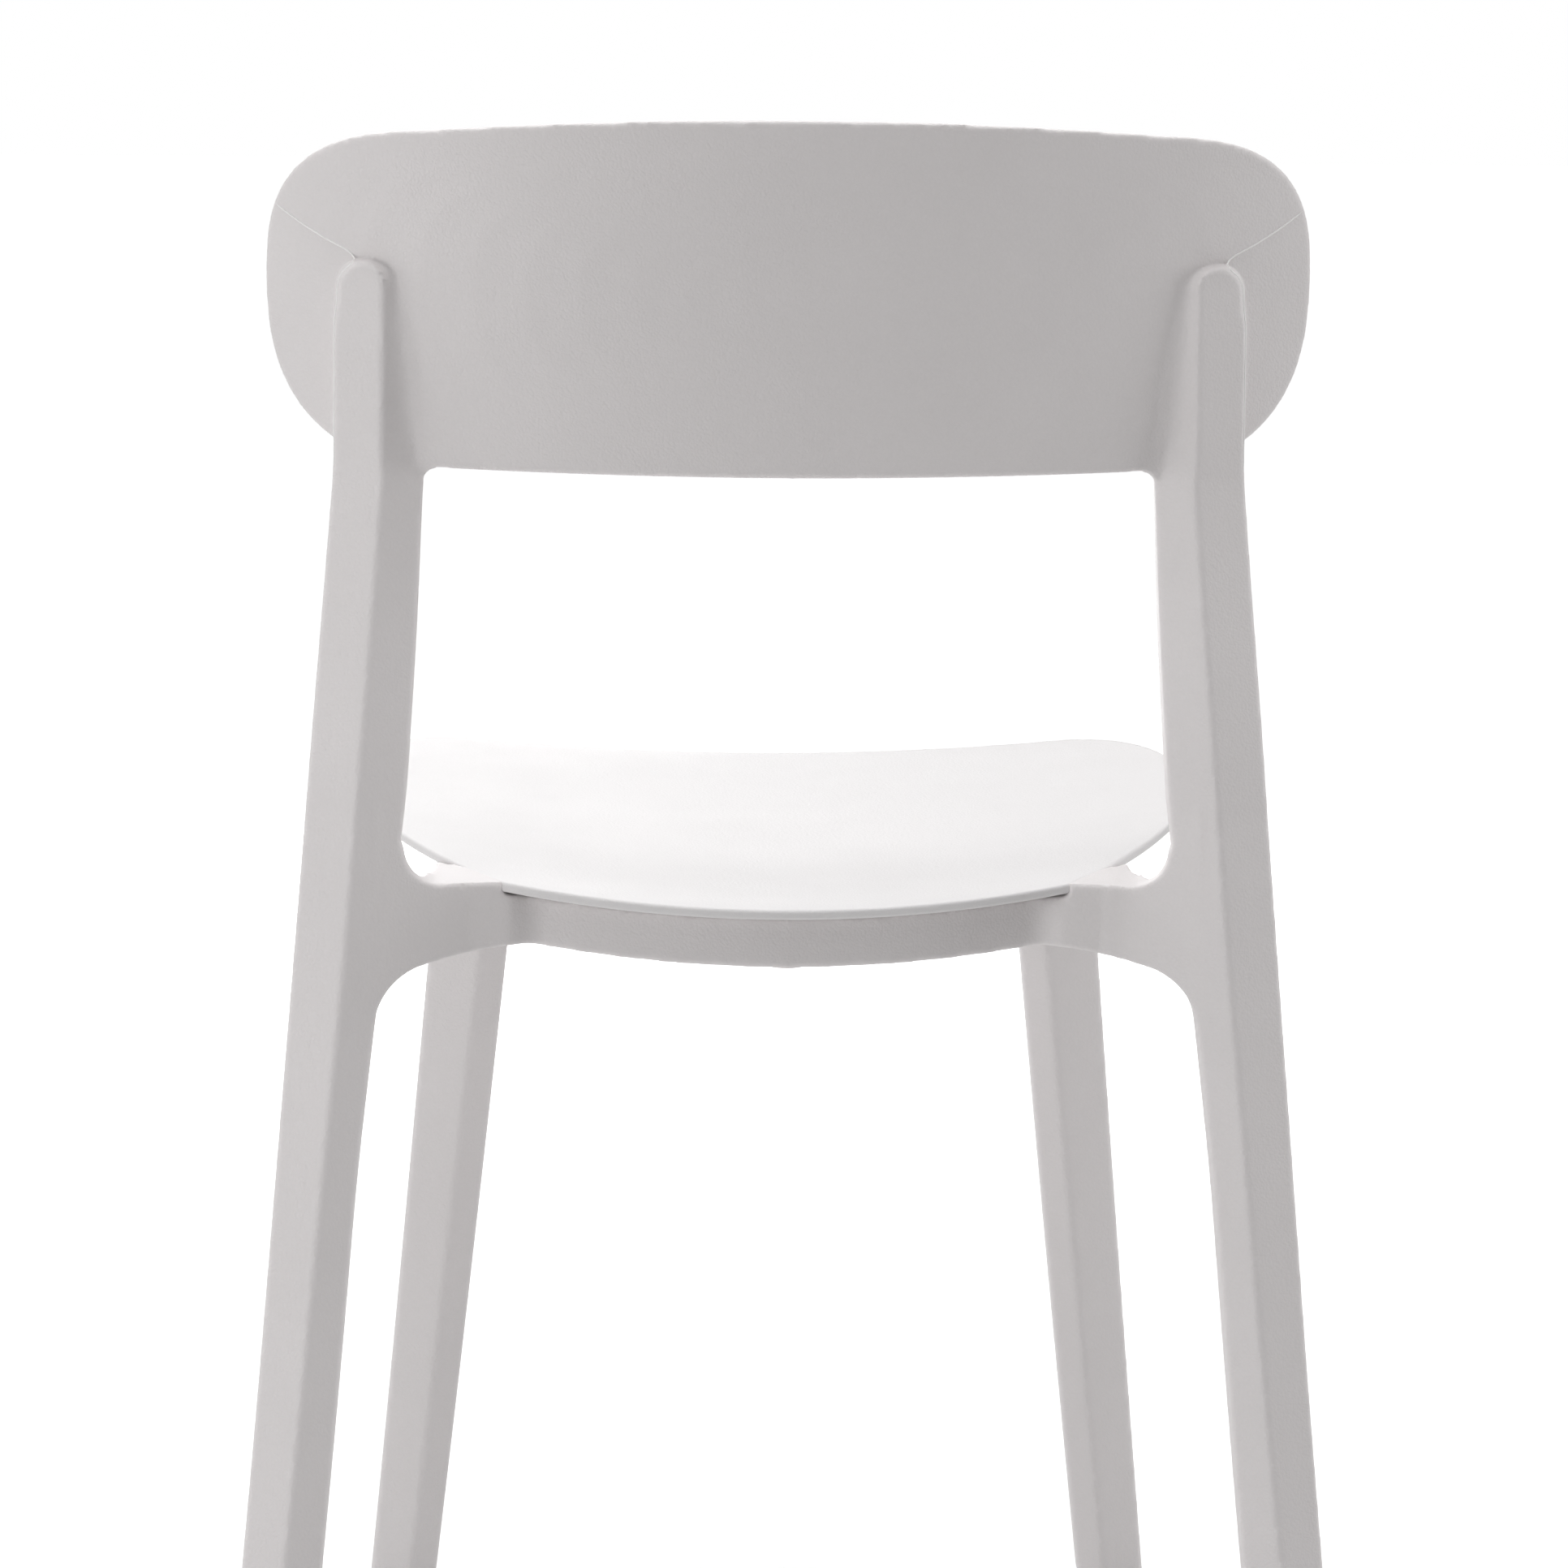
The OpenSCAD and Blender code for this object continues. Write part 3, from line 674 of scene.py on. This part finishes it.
def frontLegRing(t):
    z = mix(glideHeight, frontTopZ, t)
    outer = mix(frontFrame["feetApart"], frontFrame["topApart"], t) / 2 - 0.003 * t * (1 - t)
    width = mix(frontFrame["legWidth"], frontFrame["legWidth"] + 0.007, t)
    a = width * mix(0.62, 0.69, t)
    front = mix(-halfDepth, frontTopY, t)
    ridge = front + rearLegs["depth"]
    outerDrop = a * math.tan(math.radians(frontFrame["outerFall"]))
    innerDrop = (width - a) * math.tan(math.radians(frontFrame["innerFall"]))
    ring = [(outer, ridge - outerDrop), (outer - a, ridge), (outer - width, ridge - innerDrop),
            (outer - width, front + 0.003), (outer - width + 0.003, front),
            (outer - 0.004, front), (outer, front + 0.004)]
    return [(x, y, min(z, seatUnder(x, y) - rail["gap"])) for x, y in ring]


def sideRail():
    # each row: distance from the seat's front edge, height of the rail's underside
    lowRows = [(0.045, -0.025), (0.090, -0.0305), (0.235, -0.038), (0.319, -0.028), (0.342, -0.025)]
    middle = frontFrame["topApart"] / 2 - 0.032
    a, b = middle - frontFrame["railWidth"] / 2, middle + frontFrame["railWidth"] / 2
    rings = []
    for y in evenly(seatFront + 0.040, railFront - 0.001, 34):
        low = seat["height"] + smoothRow(lowRows, y - seatFront, 1, 0.02)
        high = seatUnder(a, y) - rail["gap"]
        rings.append([(b, y, high), (b - 0.002, y, low), (a + 0.002, y, low), (a, y, high)])
    return loft(rings)


def frontRail():
    rings = []
    reach = frontFrame["topApart"] / 2 - 0.020
    front, low = frontTopY + 0.003, frontTopZ - frontFrame["railTall"]
    rear = front + frontFrame["railWidth"] + 0.004
    for x in evenly(-reach, reach, 40):
        rings.append([(x, front, low), (x, rear, low), (x, rear, seatUnder(x, rear) - rail["gap"]),
                      (x, front, seatUnder(x, frontTopY) - rail["gap"])])
    return loft(rings)


def endPlate():
    middle = frontFrame["topApart"] / 2 - 0.034
    low, high = seat["height"] - 0.025, seat["height"] - 0.002
    rings = []
    for y in (railFront - 0.009, railFront - 0.0045, railFront - 0.0002):
        rings.append([(middle - 0.027, y, low), (middle + 0.027, y, low), (middle + 0.027, y, high),
                      (middle - 0.027, y, high)])
    return loft(rings)


def buildFrontFrame():
    leg = loft([frontLegRing(t) for t in evenly(0, 1, 60)])
    side, plate = sideRail(), endPlate()
    parts = [leg, mirrored(leg), side, mirrored(side), frontRail(), plate, mirrored(plate)]
    return moulded("frontFrame", parts)


seatShell = buildSeat()
backFrame = buildBackFrame()
frontFramePiece = buildFrontFrame()
print("mouldings built")


parting = {
    "radius": 0.00038,
    "step": 0.0012,
    # across and up: where the line meets the backrest's edge, and its bend before the post
    "edge": (0.2206, 0.7217),
    "bends": [(0.210, 0.714), (0.200, 0.708), (0.190, 0.703), (0.186, 0.700)],
}


def evenPath(path, step):
    pts = np.array(path, float)
    run = np.concatenate([[0], np.cumsum(np.linalg.norm(np.diff(pts, axis=0), axis=1))])
    at = np.linspace(0, run[-1], max(3, int(run[-1] / step)))
    return np.stack([np.interp(at, run, pts[:, k]) for k in range(3)], 1)


def bead(name, path, surface, radius):
    # a fine raised line laid on a surface, thinned towards both ends
    points, normals = [], []
    for p in evenPath(path, parting["step"]):
        _, where, normal, _ = surface.closest_point_on_mesh(Vector(p))
        points.append(where)
        normals.append(normal)
    for _ in range(3):
        eased = [(a + 2 * b + c) / 4 for a, b, c in zip(points, points[1:], points[2:])]
        points = [points[0]] + eased + [points[-1]]
    rings = []
    for i, (where, normal) in enumerate(zip(points, normals)):
        along = (points[min(i + 1, len(points) - 1)] - points[max(i - 1, 0)]).normalized()
        side = along.cross(normal).normalized()
        size = radius * min(1, (i + 0.4) / 3, (len(points) - i - 0.6) / 3)
        rings.append([where + size * (math.cos(a) * side + math.sin(a) * normal)
                      for a in (2 * math.pi * k / 8 for k in range(8))])
    piece = meshObject(name, *loft(rings))
    fixNormals(piece)
    shadeSmooth(piece)
    return piece


def partingLine(name, side):
    x, z = parting["edge"]
    path = [(side * x, backRear(x, z), z)]
    path += [(side * x, backRear(x, z) + 0.0005, z) for x, z in parting["bends"]]
    arch = []
    for share in (0.985, 0.96, 0.93, 0.90, 0.87, 0.8, 0.6, 0.4, 0.2, 0.02):
        outer = postRing(mix(backLow, postTop, share), share)[0]
        arch.append((side * outer[0], outer[1] - 0.0004, outer[2]))
    return bead(name, path + arch, backFrame, parting["radius"])


partingLeft = partingLine("partingLineLeft", 1)
partingRight = partingLine("partingLineRight", -1)
print("parting lines built")


def newGroup(name, inputs, outputs):
    group = bpy.data.node_groups.new(name, "ShaderNodeTree")
    for label, kind, value in inputs:
        socket = group.interface.new_socket(label, in_out="INPUT", socket_type=kind)
        socket.default_value = value
    for label, kind in outputs:
        group.interface.new_socket(label, in_out="OUTPUT", socket_type=kind)
    start = group.nodes.new("NodeGroupInput")
    end = group.nodes.new("NodeGroupOutput")
    return group, start, end


def mathNode(tree, kind, a, b, clamp=False):
    node = tree.nodes.new("ShaderNodeMath")
    node.operation = kind
    node.use_clamp = clamp
    for i, value in enumerate((a, b)):
        if hasattr(value, "is_linked"):
            tree.links.new(value, node.inputs[i])
        else:
            node.inputs[i].default_value = value
    return node.outputs[0]


def grainGroup():
    group, start, end = newGroup(
        "mouldedGrain",
        [("Grain Size", "NodeSocketFloat", 0.0013), ("Mottle Size", "NodeSocketFloat", 0.05)],
        [("Height", "NodeSocketFloat"), ("Pores", "NodeSocketFloat"), ("Mottle", "NodeSocketFloat")])
    place = group.nodes.new("ShaderNodeTexCoord")
    fine = mathNode(group, "DIVIDE", 1.0, start.outputs["Grain Size"])
    broad = mathNode(group, "DIVIDE", 1.0, start.outputs["Mottle Size"])
    warp = group.nodes.new("ShaderNodeTexNoise")
    warp.inputs["Detail"].default_value = 1
    group.links.new(place.outputs["Object"], warp.inputs["Vector"])
    group.links.new(mathNode(group, "MULTIPLY", fine, 0.35), warp.inputs["Scale"])
    shift = group.nodes.new("ShaderNodeVectorMath")
    shift.operation = "SCALE"
    group.links.new(warp.outputs["Color"], shift.inputs[0])
    group.links.new(mathNode(group, "MULTIPLY", start.outputs["Grain Size"], 1.6), shift.inputs["Scale"])
    bent = group.nodes.new("ShaderNodeVectorMath")
    group.links.new(place.outputs["Object"], bent.inputs[0])
    group.links.new(shift.outputs[0], bent.inputs[1])
    cells = group.nodes.new("ShaderNodeTexVoronoi")
    cells.feature = "SMOOTH_F1"
    cells.inputs["Smoothness"].default_value = 0.35
    group.links.new(bent.outputs[0], cells.inputs["Vector"])
    group.links.new(fine, cells.inputs["Scale"])
    dust = group.nodes.new("ShaderNodeTexNoise")
    dust.inputs["Detail"].default_value = 3
    group.links.new(place.outputs["Object"], dust.inputs["Vector"])
    group.links.new(mathNode(group, "MULTIPLY", fine, 1.7), dust.inputs["Scale"])
    pebble = mathNode(group, "SUBTRACT", 1.0, cells.outputs["Distance"])
    grit = mathNode(group, "MULTIPLY", dust.outputs[0], 0.45)
    group.links.new(mathNode(group, "ADD", pebble, grit), end.inputs["Height"])
    group.links.new(mathNode(group, "MULTIPLY", cells.outputs["Distance"], 0.8, True), end.inputs["Pores"])
    mottle = group.nodes.new("ShaderNodeTexNoise")
    mottle.inputs["Detail"].default_value = 2
    group.links.new(place.outputs["Object"], mottle.inputs["Vector"])
    group.links.new(broad, mottle.inputs["Scale"])
    group.links.new(mottle.outputs[0], end.inputs["Mottle"])
    return group


mouldedGrain = grainGroup()


# an edge mask from the mesh's pointiness: it drives a painted highlight on convex edges, and it also makes
# those edges smoother
def edgeGroup():
    group, start, end = newGroup(
        "edgeHighlightAndWear",
        [("Start", "NodeSocketFloat", 0.515), ("Sharpness", "NodeSocketFloat", 14.0)],
        [("Edge", "NodeSocketFloat")])
    geometry = group.nodes.new("ShaderNodeNewGeometry")
    sharp = mathNode(group, "SUBTRACT", geometry.outputs["Pointiness"], start.outputs["Start"])
    edgeAmount = mathNode(group, "MULTIPLY", sharp, start.outputs["Sharpness"], True)
    group.links.new(edgeAmount, end.inputs["Edge"])
    return group


edgeHighlightAndWear = edgeGroup()


finishShares = {
    "pores": 0.12,          # how much the pores of the grain darken
    "poreShade": 0.7,
    "paintedHighlight": 0.9,          # how much the edges are lightened, a painted highlight
    "paintedHighlightShade": 1.12,
    "dull": 0.12,           # how much the roughness varies
    "polished": -0.08,      # how much smoother the edges are
    "specular": 0.42,
}


def shaded(colour, share):
    return (*[min(1, c * share) for c in colour], 1)


def mouldedFinish(name, colour, roughness, grainSize, depth, spread, metallic):
    material = bpy.data.materials.new(name)
    material.use_nodes = True
    tree = material.node_tree
    shader = next(n for n in tree.nodes if n.type == "BSDF_PRINCIPLED")
    grain = tree.nodes.new("ShaderNodeGroup")
    grain.node_tree = mouldedGrain
    grain.inputs["Grain Size"].default_value = grainSize
    edge = tree.nodes.new("ShaderNodeGroup")
    edge.node_tree = edgeHighlightAndWear
    tint = tree.nodes.new("ShaderNodeMix")
    tint.data_type = "RGBA"
    tint.inputs["A"].default_value = shaded(colour, 1)
    tint.inputs["B"].default_value = shaded(colour, 1 - spread)
    tree.links.new(grain.outputs["Mottle"], tint.inputs["Factor"])
    pores = tree.nodes.new("ShaderNodeMix")
    pores.data_type = "RGBA"
    poreShare = mathNode(tree, "MULTIPLY", grain.outputs["Pores"], finishShares["pores"])
    tree.links.new(poreShare, pores.inputs["Factor"])
    tree.links.new(tint.outputs["Result"], pores.inputs["A"])
    pores.inputs["B"].default_value = shaded(colour, finishShares["poreShade"])
    # painted highlight: the colour is lightened on convex edges, standing in for the light that rounded
    # edges catch
    paintedHighlight = tree.nodes.new("ShaderNodeMix")
    paintedHighlight.data_type = "RGBA"
    paintedHighlightShare = mathNode(tree, "MULTIPLY", edge.outputs["Edge"], finishShares["paintedHighlight"])
    tree.links.new(paintedHighlightShare, paintedHighlight.inputs["Factor"])
    tree.links.new(pores.outputs["Result"], paintedHighlight.inputs["A"])
    paintedHighlight.inputs["B"].default_value = shaded(colour, finishShares["paintedHighlightShade"])
    tree.links.new(paintedHighlight.outputs["Result"], shader.inputs["Base Color"])
    dull = mathNode(tree, "MULTIPLY", grain.outputs["Mottle"], finishShares["dull"])
    edgeAmount = mathNode(tree, "MULTIPLY", edge.outputs["Edge"], finishShares["polished"])
    middle = roughness - finishShares["dull"] / 2
    rough = mathNode(tree, "ADD", mathNode(tree, "ADD", dull, edgeAmount), middle)
    tree.links.new(rough, shader.inputs["Roughness"])
    shader.inputs["Specular IOR Level"].default_value = finishShares["specular"]
    shader.inputs["Metallic"].default_value = metallic
    bump = tree.nodes.new("ShaderNodeBump")
    bump.inputs["Strength"].default_value = 1
    bump.inputs["Distance"].default_value = depth
    tree.links.new(grain.outputs["Height"], bump.inputs["Height"])
    tree.links.new(bump.outputs["Normal"], shader.inputs["Normal"])
    return material


# colour, roughness, grain size, grain depth, spread of shade, metallic
finishes = {
    "shellPlastic": ((0.797, 0.781, 0.782), 0.50, 0.0012, 0.00010, 0.05, 0),
    "framePlastic": ((0.806, 0.774, 0.773), 0.50, 0.0012, 0.00013, 0.05, 0),
    # the parting line's lighter colour is partly the whitening of stressed plastic along the moulding
    # flash, and partly a painted highlight for the light its raised edge catches
    "flashWhiteningAndHighlight": ((0.900, 0.885, 0.880), 0.42, 0.0012, 0.00003, 0.05, 0),
    "glidePlastic": ((0.30, 0.30, 0.295), 0.55, 0.0009, 0.00005, 0.10, 0),
    "padRubber": ((0.46, 0.455, 0.445), 0.75, 0.0007, 0.00004, 0.10, 0),
    "zincSteel": ((0.62, 0.62, 0.63), 0.34, 0.0004, 0.00001, 0.12, 1),
    "turnedBrass": ((0.70, 0.53, 0.26), 0.30, 0.0004, 0.00001, 0.12, 1),
}
materials = {name: mouldedFinish(name, *values) for name, values in finishes.items()}


def finish(piece, name):
    piece.data.materials.clear()
    piece.data.materials.append(materials[name])


for piece in (partingLeft, partingRight):
    finish(piece, "flashWhiteningAndHighlight")
    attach(piece, "root")

for piece, node, slot, name in ((seatShell, "seat_shell", "shell", "shellPlastic"),
                                (backFrame, "back_frame", "frame", "framePlastic"),
                                (frontFramePiece, "front_frame", "frame", "framePlastic")):
    finish(piece, name)
    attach(piece, "root")
    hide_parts(node)

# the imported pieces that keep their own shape, by the start of their names
hardware = {"glide": "glidePlastic", "stack": "padRubber", "seat_screws": "zincSteel",
            "frame_bolts": "zincSteel", "bolt_washers": "zincSteel", "threaded_inserts": "turnedBrass",
            "rail_plug": "framePlastic"}
for name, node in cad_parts.items():
    for start, plain in hardware.items():
        if not name.startswith(start):
            continue
        if not node.material_slots:
            node.data.materials.append(materials[plain])
        for slot in node.material_slots:
            slot.material = materials[plain]
print("materials set")


studio = {
    "paper": 0.93,
    "bounce": 0.50,
    "glow": 0.28,
    "paperNear": 0.26,
    "paperFar": 1.0,
    "fade": (0.8, 2.6),     # metres from the chair
    "surround": 0.03,
}
# name, place, size in metres, watts; each faces the middle of the chair
softboxes = (
    ("overhead", (0, 0, 2.6), 2.4, 43),
    ("overheadFront", (0, -1.7, 2.4), 2.0, 17),
    ("overheadRear", (0, 1.6, 2.5), 2.0, 12),
    ("frontLeft", (0.8, -2.5, 0.9), 1.8, 26),
    ("leftSide", (2.8, 0, 1.0), 1.6, 16),
    ("rightSide", (-2.8, 0, 1.0), 1.6, 26),
    ("leftLow", (1.9, 1.3, 0.4), 0.7, 10),
)


def softbox(name, place, size, power):
    data = bpy.data.lights.new(name, "AREA")
    data.shape = "SQUARE"
    data.size = size
    data.energy = power
    lamp = bpy.data.objects.new(name, data)
    scene.collection.objects.link(lamp)
    lamp.location = place
    lamp.rotation_euler = (Vector((0, 0, 0.4)) - Vector(place)).to_track_quat("-Z", "Y").to_euler()


def paperMaterial():
    # pale paper that reads as clean white, and bounces a softer light up at the chair
    paper = bpy.data.materials.new("paper")
    paper.use_nodes = True
    tree = paper.node_tree
    seen = next(n for n in tree.nodes if n.type == "BSDF_PRINCIPLED")
    out = next(n for n in tree.nodes if n.type == "OUTPUT_MATERIAL")
    bounced = tree.nodes.new("ShaderNodeBsdfPrincipled")
    for shader, shade in ((seen, studio["paper"]), (bounced, studio["bounce"])):
        shader.inputs["Base Color"].default_value = (shade, shade, shade, 1)
        shader.inputs["Roughness"].default_value = 0.9
        shader.inputs["Specular IOR Level"].default_value = 0
        shader.inputs["Emission Color"].default_value = (1, 1, 1, 1)
    bounced.inputs["Emission Strength"].default_value = studio["glow"]
    place = tree.nodes.new("ShaderNodeTexCoord")
    reach = tree.nodes.new("ShaderNodeVectorMath")
    reach.operation = "LENGTH"
    tree.links.new(place.outputs["Object"], reach.inputs[0])
    fade = tree.nodes.new("ShaderNodeMapRange")
    fade.interpolation_type = "SMOOTHSTEP"
    tree.links.new(reach.outputs["Value"], fade.inputs["Value"])
    fade.inputs["From Min"].default_value, fade.inputs["From Max"].default_value = studio["fade"]
    fade.inputs["To Min"].default_value = studio["paperNear"]
    fade.inputs["To Max"].default_value = studio["paperFar"]
    tree.links.new(fade.outputs["Result"], seen.inputs["Emission Strength"])
    path = tree.nodes.new("ShaderNodeLightPath")
    both = tree.nodes.new("ShaderNodeMixShader")
    tree.links.new(path.outputs["Is Camera Ray"], both.inputs[0])
    tree.links.new(bounced.outputs[0], both.inputs[1])
    tree.links.new(seen.outputs[0], both.inputs[2])
    tree.links.new(both.outputs[0], out.inputs["Surface"])
    return paper


def buildStudio():
    world = bpy.data.worlds.new("studio")
    scene.world = world
    world.use_nodes = True
    tree = world.node_tree
    sky = next(n for n in tree.nodes if n.type == "BACKGROUND")
    path = tree.nodes.new("ShaderNodeLightPath")
    seen = tree.nodes.new("ShaderNodeMapRange")
    tree.links.new(path.outputs["Is Camera Ray"], seen.inputs["Value"])
    seen.inputs["To Min"].default_value = studio["surround"]
    seen.inputs["To Max"].default_value = 1.0
    sky.inputs["Color"].default_value = (1, 1, 1, 1)
    tree.links.new(seen.outputs["Result"], sky.inputs["Strength"])
    floor = meshObject("floor", [(-30, -30, 0), (30, -30, 0), (30, 30, 0), (-30, 30, 0)], [(0, 1, 2, 3)])
    floor.data.materials.append(paperMaterial())
    for box in softboxes:
        softbox(*box)


buildStudio()
scene.view_settings.view_transform = "Standard"
print("studio set")
